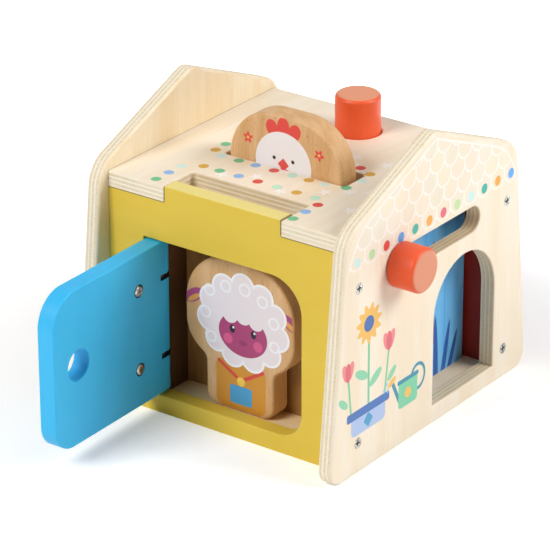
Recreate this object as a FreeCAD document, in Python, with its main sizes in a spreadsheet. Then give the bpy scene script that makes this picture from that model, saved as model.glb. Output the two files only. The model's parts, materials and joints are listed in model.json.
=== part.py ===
import FreeCAD, Part
import math
import os
import Sketcher

# Wooden barn with a door, a posted sheep, a pop up hen and a sliding animal.
# Millimetres. X runs to the right along the front, Y to the back, Z up.
# The origin is on the ground, midway between the gables and midway along their base.

doc = FreeCAD.newDocument("BarnToy")
sheet = doc.addObject("Spreadsheet::Sheet", "Sizes")


class Size:
    """A length that carries its number and the expression that gives it."""

    def __init__(self, text, number):
        self.text = text
        self.number = number

    def __add__(self, other):
        other = as_size(other)
        return Size(f"({self.text} + {other.text})", self.number + other.number)

    def __sub__(self, other):
        other = as_size(other)
        return Size(f"({self.text} - {other.text})", self.number - other.number)

    def __mul__(self, other):
        other = as_size(other)
        return Size(f"({self.text} * {other.text})", self.number * other.number)

    def __truediv__(self, other):
        other = as_size(other)
        return Size(f"({self.text} / {other.text})", self.number / other.number)

    def __neg__(self):
        return Size(f"(-{self.text})", -self.number)

    __radd__ = __add__
    __rmul__ = __mul__

    def __rsub__(self, other):
        return as_size(other) - self


def as_size(value):
    return value if isinstance(value, Size) else Size(repr(float(value)), float(value))


def size(alias, number):
    """Put one driving dimension into the sheet and return it."""
    size.row += 1
    sheet.set(f"A{size.row}", alias)
    sheet.set(f"B{size.row}", str(number))
    sheet.setAlias(f"B{size.row}", alias)
    return Size(f"Sizes.{alias}", float(number))


size.row = 0


def sine(angle):
    return Size(f"sin({angle.text} * 1 deg)", math.sin(math.radians(angle.number)))


def cosine(angle):
    return Size(f"cos({angle.text} * 1 deg)", math.cos(math.radians(angle.number)))

# Boards
board = size("board_thickness", 9)
front_board = size("front_board_thickness", 10)
inner_width = size("inner_width", 155.6)
edge_round = size("edge_round", 1.8)
small_round = size("small_round", 0.8)
cut_margin = size("cut_margin", 1)
end_gap = size("end_gap", 0.3)

# Gable outline
base_half = size("gable_base_half", 97.5)
eaves_inset = size("gable_eaves_inset", 14.5)
eaves_height = size("eaves_height", 142)
gable_rise = size("gable_rise", 33.8)
foot_round = size("gable_foot_round", 10)
eaves_round = size("eaves_round", 20)
apex_round = size("apex_round", 11)

# Body of the barn
front_overhang = size("gable_front_overhang", 20.9)
back_overhang = size("gable_back_overhang", 20.3)
roof_drop = size("roof_drop", 3.4)

# Door opening and door
left_jamb = size("left_jamb_width", 23.9)
right_jamb = size("right_jamb_width", 25.1)
opening_sill = size("opening_sill", 10.9)
lintel_height = size("lintel_height", 24.3)
opening_round_top = size("opening_round_top", 20.5)
opening_round_low = size("opening_round_low", 15.6)
door_board = size("door_board_thickness", 11)
door_gap = size("door_gap", 0.8)
door_foot_gap = size("door_foot_gap", 1.9)
door_angle = size("door_open_angle", 89)
hinge_inset = size("hinge_inset", 6.2)
hinge_flat = size("hinge_edge_flat", 0.2)
hinge_rise = size("hinge_above_sill", 24.5)
hinge_drop = size("hinge_below_lintel", 22.4)
finger_hole = size("finger_hole_diameter", 18)
finger_inset = size("finger_hole_inset", 21)
finger_height = size("finger_hole_height", 59.7)

# Hinge hardware
staple_wire = size("staple_wire", 2)
staple_half = size("staple_half_height", 4)
staple_leg = size("staple_leg_depth", 11)
wire_gap = size("wire_gap", 0.5)
pin_play = size("pin_play", 0.08)
eye_diameter = size("eye_diameter", 8.4)
eye_thickness = size("eye_thickness", 2.6)
eye_neck = size("eye_neck_diameter", 2.4)
eye_shank = size("eye_shank_diameter", 4)
eye_length = size("eye_length", 28.5)
notch_height = size("notch_height", 3.6)
notch_reach = size("notch_reach", 5.4)
bore_play = size("bore_play", 0.05)
door_screw_reach = size("door_screw_reach", 25.2)
door_screw_wire = size("door_screw_wire", 2.2)
door_screw_head = size("door_screw_head", 6.4)
door_screw_rise = size("door_screw_head_height", 2)
door_screw_dome = size("door_screw_dome_round", 1.2)
door_screw_sink = size("door_screw_recess", 1.2)

# Roof: notch for the tab, posting slot, hen slot, button hole
notch_left_inset = size("notch_left_inset", 38.5)
notch_right_inset = size("notch_right_inset", 38)
notch_depth = size("notch_depth", 26.4)
tab_gap = size("tab_gap", 0.25)
tab_proud = size("tab_proud", 0.4)
cut_round = size("cut_corner_round", 2.5)
hen_slot_left_inset = size("hen_slot_left_inset", 36.8)
hen_slot_right_inset = size("hen_slot_right_inset", 37.4)
hen_slot_depth = size("hen_slot_depth", 20.7)
hen_front_gap = size("hen_front_gap", 0.5)

# Hen block
hen_side_gap = size("hen_side_gap", 2.7)
hen_thickness = size("hen_thickness", 15)
hen_front = size("hen_front", 18.8)
hen_proud = size("hen_proud", 30.7)
hen_round = size("hen_round", 30)
hen_play = size("hen_play", 0.35)

# Button and rocker
flange_gap = size("flange_gap", 0.7)
button_diameter = size("button_diameter", 26.2)
button_play = size("button_play", 0.5)
button_proud = size("button_proud", 22.9)
button_travel = size("button_travel", 18)
button_rim = size("button_rim_round", 2.5)
stem_diameter = size("button_stem_diameter", 14)
flange_diameter = size("flange_diameter", 32.6)
flange_thickness = size("flange_thickness", 8)
button_arm = size("rocker_button_arm", 26)
pivot_height = size("pivot_height", 72)
rocker_width = size("rocker_width", 14)
rocker_end = size("rocker_end_radius", 8)
rocker_bar = size("rocker_bar_height", 10)
rocker_boss = size("rocker_boss_radius", 11)
contact_gap = size("contact_gap", 0.3)
pin_diameter = size("rocker_pin_diameter", 8)
cheek_depth = size("cheek_depth", 30)
cheek_over_pin = size("cheek_over_pin", 12)
cheek_gap = size("cheek_gap", 0.6)
guide_lip = size("guide_lip", 5)
guide_bite = size("guide_bite", 4.5)
guide_height = size("guide_height", 70)
guide_screw_low = size("guide_screw_low", 60)
guide_screw_high = size("guide_screw_high", 32)
guide_screw_depth = size("guide_screw_depth", 4.5)
keeper_height = size("keeper_height", 12)
keeper_thickness = size("keeper_thickness", 10)
keeper_gap = size("keeper_gap", 5.5)

# Inner walls
partition_inset = size("left_partition_inset", 32.15)
partition_clearance = size("partition_clearance", 1.6)
room_gap = size("room_gap", 1.3)
blue_back_gap = size("blue_wall_back_gap", 3)

# Arch and slot in the right gable
arch_back_inset = size("arch_back_inset", 6.1)
arch_width = size("arch_width", 61.4)
arch_sill = size("arch_sill", 11.2)
arch_drop = size("arch_below_slot", 48.65)
slot_height = size("slot_height", 15.5)
slot_drop = size("slot_below_roof", 18.85)
slot_front_inset = size("slot_front_inset", 21.4)
slot_back_inset = size("slot_back_inset", 23.1)

# Sliding knob and its animal
knob_diameter = size("knob_diameter", 25.6)
knob_length = size("knob_length", 16.8)
knob_gap = size("knob_gap", 0.4)
key_length = size("key_length", 21.4)
key_play = size("key_play", 0.2)
slide_thickness = size("slide_board_thickness", 10)
slide_gap = size("slide_board_gap", 1.2)
slide_back_gap = size("slide_board_back_gap", 2.6)
slide_width = size("slide_board_width", 46)
slide_over = size("slide_board_over_slot", 12)
slide_under = size("slide_board_floor_gap", 1)
slide_shoulder = size("slide_board_shoulder", 20)
slide_screw_grip = size("slide_screw_grip", 8)

# Sheep block
sheep_thickness = size("sheep_thickness", 14.2)
sheep_back_gap = size("sheep_back_gap", 0.3)
sheep_middle = size("sheep_middle", 2.3)
sheep_side_gap = size("sheep_side_gap", 2.55)
sheep_height = size("sheep_height", 91.5)
sheep_neck = size("sheep_neck_height", 27.5)
sheep_body = size("sheep_body_width", 46)
sheep_crown = size("sheep_crown_half_width", 6)
sheep_cheek_round = size("sheep_cheek_round", 22)
sheep_waist_round = size("sheep_waist_round", 6)
sheep_foot_round = size("sheep_foot_round", 8)

# Screws and dowels
screw_head = size("screw_head_diameter", 6.6)
screw_wire = size("screw_wire", 3.4)
screw_length = size("screw_length", 28)
screw_low = size("screw_low", 18.5)
screw_drop = size("screw_below_roof", 19.6)
screw_play = size("screw_play", 0.05)
screw_tip = size("screw_tip_radius", 0.2)
cross_width = size("cross_width", 0.9)
cross_length = size("cross_length", 3.8)
cross_depth = size("cross_depth", 1.1)
dowel_diameter = size("dowel_diameter", 6)
dowel_in_board = size("dowel_in_board", 6)
dowel_in_edge = size("dowel_in_edge", 14)
dowel_reach = size("dowel_reach", 42)
wall_dowel_front = size("wall_dowel_front", 28)
wall_dowel_back = size("wall_dowel_back", 48)
room_dowel_half = size("room_dowel_half", 22)

doc.recompute()

# Faces and places that follow from the sizes
gable_inner = inner_width / 2
gable_outer = gable_inner + board
eaves_half = base_half - eaves_inset
apex_height = eaves_height + gable_rise
front_reach = base_half - front_overhang
back_reach = base_half - back_overhang
front_inner = front_reach - front_board
back_inner = back_reach - board
roof_top = eaves_height - roof_drop
roof_under = roof_top - board
floor_top = board
front_middle = front_reach - front_board / 2
back_middle = back_reach - board / 2
screw_high = roof_under - screw_drop

opening_left = gable_inner - left_jamb
opening_right = gable_inner - right_jamb
opening_top = roof_under - lintel_height
hinge_low = opening_sill + hinge_rise
hinge_high = opening_top - hinge_drop
axis_x = opening_left - hinge_inset
door_low = opening_sill + door_foot_gap
door_high = opening_top - door_gap
door_half = door_board / 2
door_far = axis_x + opening_right - door_gap
finger_reach = door_far - finger_inset

notch_left = gable_inner - notch_left_inset
notch_right = gable_inner - notch_right_inset
notch_back = notch_depth - front_reach
sheep_back = sheep_back_gap - notch_back
room_back = -notch_back - room_gap
sheep_width = notch_left + notch_right - sheep_side_gap * 2
sheep_top_round = sheep_width / 2 - sheep_crown

hen_slot_left = gable_inner - hen_slot_left_inset
hen_slot_right = gable_inner - hen_slot_right_inset
hen_width = hen_slot_left + hen_slot_right - hen_side_gap * 2
hen_half = hen_width / 2
hen_back = hen_front - hen_thickness
hen_middle = hen_front - hen_thickness / 2
hen_top = roof_top + hen_proud
keeper_half = hen_half - guide_bite - keeper_gap

button_place = back_inner - flange_diameter / 2 - flange_gap
pivot_place = button_place - button_arm
hen_arm = pivot_place + hen_middle
rocker_sine = button_travel / 2 / button_arm
rocker_tilt = math.degrees(math.asin(rocker_sine.number))
hen_rise = button_travel * hen_arm / button_arm
hen_bottom = pivot_height - hen_arm * rocker_sine + rocker_end + contact_gap
stem_bottom = pivot_height + button_arm * rocker_sine + rocker_end + contact_gap

slot_level = roof_under - slot_drop
slot_front = front_inner - slot_front_inset
slot_back = back_inner - slot_back_inset
arch_spring = slot_level - arch_drop
arch_front = back_inner - arch_back_inset - arch_width
knob_place = slot_front - key_length / 2 - key_play
slide_outer = gable_inner - slide_gap
slide_inner = slide_outer - slide_thickness
slide_travel = slot_front + slot_back - key_length - key_play * 2
partition_face = gable_inner - partition_inset
blue_face = slide_inner - slide_back_gap
blue_left = blue_face - board

flat = FreeCAD.Rotation()
upright = FreeCAD.Rotation(FreeCAD.Vector(1, 0, 0), 90)
sideways = FreeCAD.Rotation(FreeCAD.Vector(1, 1, 1), 120)
up = FreeCAD.Vector(0, 0, 1)
down = FreeCAD.Vector(0, 0, -1)
rightward = FreeCAD.Vector(1, 0, 0)
leftward = FreeCAD.Vector(-1, 0, 0)
backward = FreeCAD.Vector(0, 1, 0)
tolerance = 0.01
nodes = []


def vector(lengths):
    return FreeCAD.Vector(*[as_size(length).number for length in lengths])


def bind(thing, name, length):
    """Tie one property of an object to the sheet."""
    length = as_size(length)
    thing.setExpression(name, length.text)


def seat(thing, at, rotation=flat):
    """Place an object, its position tied to the sheet."""
    thing.Placement = FreeCAD.Placement(vector(at), rotation)
    for axis, length in zip("xyz", at):
        bind(thing, f"Placement.Base.{axis}", length)
    return thing


def new_body(label, at, rotation=flat):
    body = doc.addObject("PartDesign::Body", label)
    body.Label = label
    nodes.append(body)
    return seat(body, at, rotation)


def new_sketch(body, level=0):
    sketch = body.newObject("Sketcher::SketchObject", "Sketch")
    plane = next(item for item in body.Origin.OriginFeatures if item.Role == "XY_Plane")
    sketch.AttachmentSupport = [(plane, "")]
    sketch.MapMode = "FlatFace"
    sketch.AttachmentOffset = FreeCAD.Placement(vector((0, 0, level)), flat)
    bind(sketch, "AttachmentOffset.Base.z", level)
    return sketch


def hold(sketch, kind, where, length):
    """Add one sketch dimension tied to the sheet."""
    length = as_size(length)
    number = sketch.addConstraint(Sketcher.Constraint(kind, *where, length.number))
    bind(sketch, f"Constraints[{number}]", length)


def hold_point(sketch, index, end, x, y):
    hold(sketch, "DistanceX", (-1, 1, index, end), x)
    hold(sketch, "DistanceY", (-1, 1, index, end), y)


def polygon(*corners):
    """A closed outline of straight lines."""
    def draw(sketch):
        points = [vector((x, y, 0)) for x, y in corners]
        count = len(points)
        for index in range(count):
            sketch.addGeometry(Part.LineSegment(points[index], points[(index + 1) % count]))
        for index in range(count):
            sketch.addConstraint(Sketcher.Constraint("Coincident", index, 2, (index + 1) % count, 1))
        for index, (x, y) in enumerate(corners):
            hold_point(sketch, index, 1, x, y)
    return draw


def rectangle(left, low, right, high):
    return polygon((left, low), (right, low), (right, high), (left, high))


def circle(x, y, radius):
    def draw(sketch):
        ring = Part.Circle(vector((x, y, 0)), up, as_size(radius).number)
        index = sketch.addGeometry(ring)
        hold_point(sketch, index, 3, x, y)
        hold(sketch, "Radius", (index,), radius)
    return draw


def arc(x, y, radius, start, end):
    ring = Part.Circle(vector((x, y, 0)), up, as_size(radius).number)
    return Part.ArcOfCircle(ring, math.radians(start), math.radians(end))


def long_hole(left, right, y, radius):
    """A slot with round ends, given by the centres of its ends."""
    def draw(sketch):
        sketch.addGeometry(arc(left, y, radius, 90, 270))
        sketch.addGeometry(Part.LineSegment(vector((left, y - radius, 0)), vector((right, y - radius, 0))))
        sketch.addGeometry(arc(right, y, radius, 270, 450))
        sketch.addGeometry(Part.LineSegment(vector((right, y + radius, 0)), vector((left, y + radius, 0))))
        for here, there in ((0, 1), (1, 2), (2, 3), (3, 0)):
            sketch.addConstraint(Sketcher.Constraint("Tangent", here, 2, there, 1))
        sketch.addConstraint(Sketcher.Constraint("Equal", 0, 2))
        hold_point(sketch, 0, 3, left, y)
        hold_point(sketch, 2, 3, right, y)
        hold(sketch, "Radius", (0,), radius)
    return draw


def rounded_box(left, low, right, high, low_round, high_round):
    """A rectangle whose lower and upper corners have their own radii."""
    def draw(sketch):
        corners = [(left, low, 1, 1, low_round, 180), (right, low, -1, 1, low_round, 270),
                   (right, high, -1, -1, high_round, 0), (left, high, 1, -1, high_round, 90)]
        centres = [(x + radius * across, y + radius * along) for x, y, across, along, radius, _ in corners]
        arcs = []
        for (x, y), (_, _, _, _, radius, start) in zip(centres, corners):
            arcs.append(arc(x, y, radius, start, start + 90))
        for index, curve in enumerate(arcs):
            following = arcs[(index + 1) % 4]
            sketch.addGeometry(curve)
            sketch.addGeometry(Part.LineSegment(curve.EndPoint, following.StartPoint))
        for index in range(8):
            sketch.addConstraint(Sketcher.Constraint("Tangent", index, 2, (index + 1) % 8, 1))
        for index, ((x, y), corner) in enumerate(zip(centres, corners)):
            hold_point(sketch, index * 2, 3, x, y)
            hold(sketch, "Radius", (index * 2,), corner[4])
    return draw


def archway(left, right, sill, spring):
    """A doorway with a half round top."""
    def draw(sketch):
        middle = (left + right) / 2
        radius = (right - left) / 2
        sketch.addGeometry(arc(middle, spring, radius, 0, 180))
        sketch.addGeometry(Part.LineSegment(vector((left, spring, 0)), vector((left, sill, 0))))
        sketch.addGeometry(Part.LineSegment(vector((left, sill, 0)), vector((right, sill, 0))))
        sketch.addGeometry(Part.LineSegment(vector((right, sill, 0)), vector((right, spring, 0))))
        sketch.addConstraint(Sketcher.Constraint("Tangent", 0, 2, 1, 1))
        sketch.addConstraint(Sketcher.Constraint("Coincident", 1, 2, 2, 1))
        sketch.addConstraint(Sketcher.Constraint("Coincident", 2, 2, 3, 1))
        sketch.addConstraint(Sketcher.Constraint("Tangent", 3, 2, 0, 1))
        for index in (1, 3):
            sketch.addConstraint(Sketcher.Constraint("Vertical", index))
        sketch.addConstraint(Sketcher.Constraint("Horizontal", 2))
        hold_point(sketch, 0, 3, middle, spring)
        hold(sketch, "Radius", (0,), radius)
        hold(sketch, "DistanceY", (-1, 1, 2, 1), sill)
    return draw


def pad(body, draw, length, level=0):
    sketch = new_sketch(body, level)
    draw(sketch)
    feature = body.newObject("PartDesign::Pad", "Pad")
    feature.Profile = sketch
    bind(feature, "Length", length)
    return feature


def cut(body, draw, depth=None, level=0):
    """Cut upwards from a level, right through unless a depth is given."""
    sketch = new_sketch(body, level)
    draw(sketch)
    feature = body.newObject("PartDesign::Pocket", "Pocket")
    feature.Profile = sketch
    feature.Reversed = True
    if depth is None:
        feature.Type = "ThroughAll"
    else:
        bind(feature, "Length", depth)
    return feature


def drill(body, at, direction, diameter, depth):
    """Bore a round hole into a body, along any direction."""
    tool = body.newObject("PartDesign::SubtractiveCylinder", "Bore")
    seat(tool, at, FreeCAD.Rotation(up, direction))
    bind(tool, "Radius", diameter / 2)
    bind(tool, "Height", depth)
    return tool


def round_edges(body, radius, choose):
    """Round the edges of a body that a test picks."""
    doc.recompute()
    base = body.Tip
    names = [f"Edge{number + 1}" for number, edge in enumerate(base.Shape.Edges) if choose(edge)]
    feature = body.newObject("PartDesign::Fillet", "Round")
    feature.Base = (base, names)
    bind(feature, "Radius", radius)
    return feature


def bevel_edges(body, width, choose):
    doc.recompute()
    base = body.Tip
    names = [f"Edge{number + 1}" for number, edge in enumerate(base.Shape.Edges) if choose(edge)]
    feature = body.newObject("PartDesign::Chamfer", "Bevel")
    feature.Base = (base, names)
    bind(feature, "Size", width)
    return feature


def near(one, other):
    return abs(one - other) < tolerance


def corner_at(*places):
    """Picks the edges that run through the board at given corners."""
    spots = [vector((x, y, 0)) for x, y in places]

    def choose(edge):
        box = edge.BoundBox
        if box.XLength > tolerance or box.YLength > tolerance:
            return False
        return any(near(box.XMin, spot.x) and near(box.YMin, spot.y) for spot in spots)
    return choose


def outline_at(body, *levels):
    """Picks the outer outline of the faces at given levels."""
    doc.recompute()
    heights = [as_size(level).number for level in levels]
    chosen = []
    for height in heights:
        faces = [face for face in body.Tip.Shape.Faces
                 if near(face.BoundBox.ZMin, height) and near(face.BoundBox.ZMax, height)]
        chosen += max(faces, key=lambda face: face.Area).OuterWire.Edges
    return lambda edge: any(edge.isSame(other) for other in chosen)


def holes_at(body, *levels, inside=None):
    """Picks the outlines of the holes in the faces at given levels."""
    doc.recompute()
    chosen = []
    for level in levels:
        height = as_size(level).number
        for face in body.Tip.Shape.Faces:
            box = face.BoundBox
            if near(box.ZMin, height) and near(box.ZMax, height):
                for wire in face.Wires:
                    if not wire.isSame(face.OuterWire) and (inside is None or inside(wire)):
                        chosen += wire.Edges
    return lambda edge: any(edge.isSame(other) for other in chosen)


def ring_at(level, diameter):
    """Picks round edges of one diameter at one level."""
    height = as_size(level).number
    radius = as_size(diameter).number / 2

    def choose(edge):
        box = edge.BoundBox
        flat_ring = near(box.ZMin, height) and near(box.ZMax, height)
        return flat_ring and hasattr(edge.Curve, "Radius") and near(edge.Curve.Radius, radius)
    return choose


# Gables: plywood ends with a pitched top
screw_hole = screw_wire + screw_play * 2
screw_bevel = (screw_head - screw_wire) / 2
screw_bite = screw_length - board
screw_spots = [(-front_middle, screw_low), (-front_middle, screw_high),
               (back_middle, screw_low), (back_middle, screw_high)]
dowel_hole = dowel_diameter + screw_play * 2
gable_dowel_spots = [(-dowel_reach, board / 2), (dowel_reach, board / 2),
                     (-dowel_reach, roof_top - board / 2), (dowel_reach, roof_top - board / 2)]


def make_gable(label, at, outer_level, inner_level, inward):
    body = new_body(label, at, sideways)
    pad(body, polygon((-base_half, 0), (base_half, 0), (eaves_half, eaves_height),
                      (as_size(0), apex_height), (-eaves_half, eaves_height)), board)
    round_edges(body, foot_round, corner_at((-base_half, 0), (base_half, 0)))
    round_edges(body, eaves_round, corner_at((-eaves_half, eaves_height), (eaves_half, eaves_height)))
    round_edges(body, apex_round, corner_at((0, apex_height)))
    round_edges(body, edge_round, outline_at(body, 0, board))
    for y, z in screw_spots:
        cut(body, circle(y, z, screw_hole / 2))
    bevel_edges(body, screw_bevel, ring_at(outer_level, screw_hole))
    for y, z in gable_dowel_spots:
        drill(body, (y, z, inner_level), inward, dowel_hole, dowel_in_board)
    return body


left_gable = make_gable("left_gable", (-gable_outer, 0, 0), 0, board, down)
right_gable = make_gable("right_gable", (gable_inner, 0, 0), board, 0, up)
cut(right_gable, archway(arch_front, arch_front + arch_width, arch_sill, arch_spring))
slot_radius = slot_height / 2
cut(right_gable, long_hole(slot_radius - slot_front, slot_back - slot_radius, slot_level, slot_radius))
round_edges(right_gable, small_round, holes_at(
    right_gable, board, inside=lambda wire: wire.BoundBox.XLength > knob_diameter.number))

# Front panel: the door opening, and a tab that fills the notch in the roof
front_panel = new_body("front_panel", (0, -front_inner, 0), upright)
tab_left = notch_left - tab_gap
tab_right = notch_right - tab_gap
tab_top = roof_top + tab_proud
pad(front_panel, polygon((-gable_inner, 0), (gable_inner, 0), (gable_inner, roof_under),
                         (tab_right, roof_under), (tab_right, tab_top), (-tab_left, tab_top),
                         (-tab_left, roof_under), (-gable_inner, roof_under)), front_board)
cut(front_panel, rectangle(-opening_left, opening_sill, opening_right, opening_top))
round_edges(front_panel, opening_round_top, corner_at((opening_right, opening_top)))
round_edges(front_panel, opening_round_low, corner_at((opening_right, opening_sill)))
round_edges(front_panel, small_round, holes_at(front_panel, 0, front_board))
for height in (hinge_low, hinge_high):
    for step in (-staple_half, staple_half):
        drill(front_panel, (-opening_left - staple_leg, height + step, front_board / 2), rightward,
              staple_wire + bore_play * 2, staple_leg + small_round)
for z in (screw_low, screw_high):
    drill(front_panel, (-gable_inner, z, front_board / 2), rightward, screw_hole, screw_bite)
    drill(front_panel, (gable_inner, z, front_board / 2), leftward, screw_hole, screw_bite)


def tab_edges(edge):
    box = edge.BoundBox
    return near(box.YMin, tab_top.number) and near(box.YMax, tab_top.number)


round_edges(front_panel, small_round, tab_edges)

# Back panel
back_panel = new_body("back_panel", (0, back_reach, 0), upright)
pad(back_panel, rectangle(-gable_inner, 0, gable_inner, roof_under), board)
for z in (screw_low, screw_high):
    drill(back_panel, (-gable_inner, z, board / 2), rightward, screw_hole, screw_bite)
    drill(back_panel, (gable_inner, z, board / 2), leftward, screw_hole, screw_bite)

# Floor, with seats for the dowels and screws of what stands on it
partition_middle = partition_face + board / 2
blue_middle = blue_face - board / 2
room_back_middle = room_back - board / 2
wall_dowel_spots = [(-partition_middle, -wall_dowel_front), (-partition_middle, wall_dowel_back),
                    (blue_middle, -wall_dowel_front), (blue_middle, wall_dowel_back),
                    (-room_dowel_half, -room_back_middle), (room_dowel_half, -room_back_middle)]
cheek_inner = rocker_width / 2 + cheek_gap
cheek_middle = cheek_inner + board / 2
cheek_screw_half = cheek_depth / 4
cheek_screw_spots = [(-cheek_middle, pivot_place - cheek_screw_half),
                     (-cheek_middle, pivot_place + cheek_screw_half),
                     (cheek_middle, pivot_place - cheek_screw_half),
                     (cheek_middle, pivot_place + cheek_screw_half)]
floor_board = new_body("floor_board", (0, 0, 0))
pad(floor_board, rectangle(-gable_inner, -front_inner, gable_inner, back_inner), board)
for x, y in cheek_screw_spots:
    cut(floor_board, circle(x, y, screw_hole / 2))
bevel_edges(floor_board, screw_bevel, ring_at(0, screw_hole))
for x, y in wall_dowel_spots:
    drill(floor_board, (x, y, floor_top - dowel_in_board), up, dowel_hole, dowel_in_board)
for y in (-dowel_reach, dowel_reach):
    drill(floor_board, (-gable_inner, y, board / 2), rightward, dowel_hole, dowel_in_edge)
    drill(floor_board, (gable_inner, y, board / 2), leftward, dowel_hole, dowel_in_edge)

# Roof: notch at the front, slot for the hen, hole for the button
roof_board = new_body("roof_board", (0, 0, roof_under))
pad(roof_board, rectangle(-gable_inner, -front_reach, gable_inner, back_reach), board)
cut(roof_board, rectangle(-notch_left, -front_reach - edge_round, notch_right, notch_back))
round_edges(roof_board, cut_round, corner_at((-notch_left, notch_back), (notch_right, notch_back)))
slot_y = -hen_front - hen_front_gap
hen_slot_back = slot_y + hen_slot_depth
cut(roof_board, rectangle(-hen_slot_left, slot_y, hen_slot_right, hen_slot_back))
round_edges(roof_board, cut_round, corner_at(
    (-hen_slot_left, slot_y), (hen_slot_right, slot_y),
    (-hen_slot_left, hen_slot_back), (hen_slot_right, hen_slot_back)))
cut(roof_board, circle(0, button_place, button_diameter / 2 + button_play))
round_edges(roof_board, small_round, holes_at(roof_board, board))


def roof_rims(edge):
    box = edge.BoundBox
    level = near(box.ZMin, board.number) and near(box.ZMax, board.number)
    long_side = box.XLength > slot_height.number and box.YLength < tolerance
    return level and long_side and box.YMin < notch_back.number + tolerance


round_edges(roof_board, small_round, roof_rims)
for y in (-dowel_reach, dowel_reach):
    drill(roof_board, (-gable_inner, y, board / 2), rightward, dowel_hole, dowel_in_edge)
    drill(roof_board, (gable_inner, y, board / 2), leftward, dowel_hole, dowel_in_edge)

# Inner walls: the sheep's room at the front, and the wall behind the arch
wall_height = roof_under - floor_top
left_partition = new_body("left_partition", (-partition_face - board, 0, floor_top))
pad(left_partition, rectangle(0, partition_clearance - front_inner, board, back_inner), wall_height)
blue_wall = new_body("blue_wall", (blue_left, 0, floor_top))
pad(blue_wall, rectangle(0, -front_inner, board, back_inner - blue_back_gap), wall_height)
compartment_back_wall = new_body("compartment_back_wall", (0, -room_back, floor_top))
pad(compartment_back_wall, rectangle(-partition_face, 0, blue_left, board), wall_height)
for x, y in wall_dowel_spots[:2]:
    drill(left_partition, (x + partition_face + board, y, 0), up, dowel_hole, dowel_in_edge)
for x, y in wall_dowel_spots[2:4]:
    drill(blue_wall, (x - blue_left, y, 0), up, dowel_hole, dowel_in_edge)
for x, y in wall_dowel_spots[4:]:
    drill(compartment_back_wall, (x, y + room_back, 0), up, dowel_hole, dowel_in_edge)

# Door, shown standing open, with a round hinge edge that turns in the jamb
door_turn = FreeCAD.Rotation(up, -door_angle.number)
door_face_x = sine(door_angle)
door_face_y = cosine(door_angle)


def on_door(along, height, out=0):
    """A place on the open door: along its width, up, and out from its middle plane."""
    x = -axis_x + door_face_y * along - door_face_x * out
    y = -front_middle - door_face_x * along - door_face_y * out
    return (x, y, as_size(height))


door = new_body("door", on_door(0, 0, -door_half), door_turn * upright)
pad(door, rectangle(-door_half, door_low, door_far, door_high), door_board)
round_edges(door, opening_round_low - door_gap, corner_at((door_far, door_low)))
round_edges(door, opening_round_top - door_gap, corner_at((door_far, door_high)))


def hinge_edges(edge):
    box = edge.BoundBox
    upright_edge = box.XLength < tolerance and box.ZLength < tolerance
    return upright_edge and near(box.XMin, -door_half.number)


round_edges(door, door_half - hinge_flat / 2, hinge_edges)


def door_rims(edge):
    box = edge.BoundBox
    on_face = box.ZLength < tolerance and (near(box.ZMin, 0) or near(box.ZMin, door_board.number))
    along_rim = box.XMax > door_half.number
    inner_line = near(box.XMin, box.XMax) and box.XMin < door_half.number
    return on_face and along_rim and not inner_line


round_edges(door, small_round, door_rims)
cut(door, circle(finger_reach, finger_height, finger_hole / 2))
round_edges(door, small_round, holes_at(door, 0, door_board))
wire_play = staple_wire / 2 + wire_gap
eye_bore = eye_shank + bore_play * 2
door_screw_bore = door_board - edge_round
for height in (hinge_low, hinge_high):
    half = notch_height / 2
    cut(door, rectangle(-door_half - cut_margin, height - half, notch_reach, height + half))
    reach = staple_half + wire_play
    cut(door, rectangle(-door_half - cut_margin, height - reach, wire_play, height + reach),
        depth=door_board, level=door_half - wire_play)
    drill(door, (notch_reach, height, door_half), rightward, eye_bore, eye_length - notch_reach)
    drill(door, (door_screw_reach, height, 0), up, door_screw_head + end_gap * 2, door_screw_sink)
    drill(door, (door_screw_reach, height, 0), up, door_screw_wire + bore_play * 2, door_screw_bore)

# Hinges: an eye held in the door by a cross screw turns on a staple driven into the jamb
eye_hole = staple_wire + pin_play * 2
neck_start = eye_diameter / 4


def make_eye(label, height):
    body = new_body(label, on_door(0, height), door_turn)
    half = eye_thickness / 2
    pad(body, circle(0, 0, eye_diameter / 2), eye_thickness, level=-half)
    neck = body.newObject("PartDesign::AdditiveCylinder", "Neck")
    seat(neck, (neck_start, 0, 0), FreeCAD.Rotation(up, rightward))
    bind(neck, "Radius", eye_neck / 2)
    bind(neck, "Height", notch_reach - neck_start + small_round)
    shank = body.newObject("PartDesign::AdditiveCylinder", "Shank")
    seat(shank, (notch_reach + end_gap, 0, 0), FreeCAD.Rotation(up, rightward))
    bind(shank, "Radius", eye_shank / 2)
    bind(shank, "Height", eye_length - notch_reach - end_gap * 2)
    drill(body, (0, 0, -half), up, eye_hole, eye_thickness)
    drill(body, (door_screw_reach, -eye_shank / 2, 0), backward, door_screw_wire + bore_play * 2, eye_shank)
    return body


def make_staple(label, height):
    """A bent wire: two legs in the jamb and the bar that the eye turns on."""
    parts = []
    leg = hinge_inset + staple_leg
    radius = staple_wire / 2
    bar = doc.addObject("Part::Cylinder", "Bar")
    seat(bar, (-axis_x, -front_middle, height - staple_half))
    bind(bar, "Radius", radius)
    bind(bar, "Height", staple_half * 2)
    parts.append(bar)
    for step in (-staple_half, staple_half):
        rod = doc.addObject("Part::Cylinder", "Leg")
        seat(rod, (-axis_x, -front_middle, height + step), FreeCAD.Rotation(up, leftward))
        bind(rod, "Radius", radius)
        bind(rod, "Height", leg)
        bend = doc.addObject("Part::Sphere", "Bend")
        seat(bend, (-axis_x, -front_middle, height + step))
        bind(bend, "Radius", radius)
        parts += [rod, bend]
    staple = doc.addObject("Part::MultiFuse", label)
    staple.Shapes = parts
    staple.Refine = True
    staple.Label = label
    nodes.append(staple)
    return staple


for level, height in (("lower", hinge_low), ("upper", hinge_high)):
    make_eye(f"{level}_hinge_eye", height)
    make_staple(f"{level}_hinge_staple", height)

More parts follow.
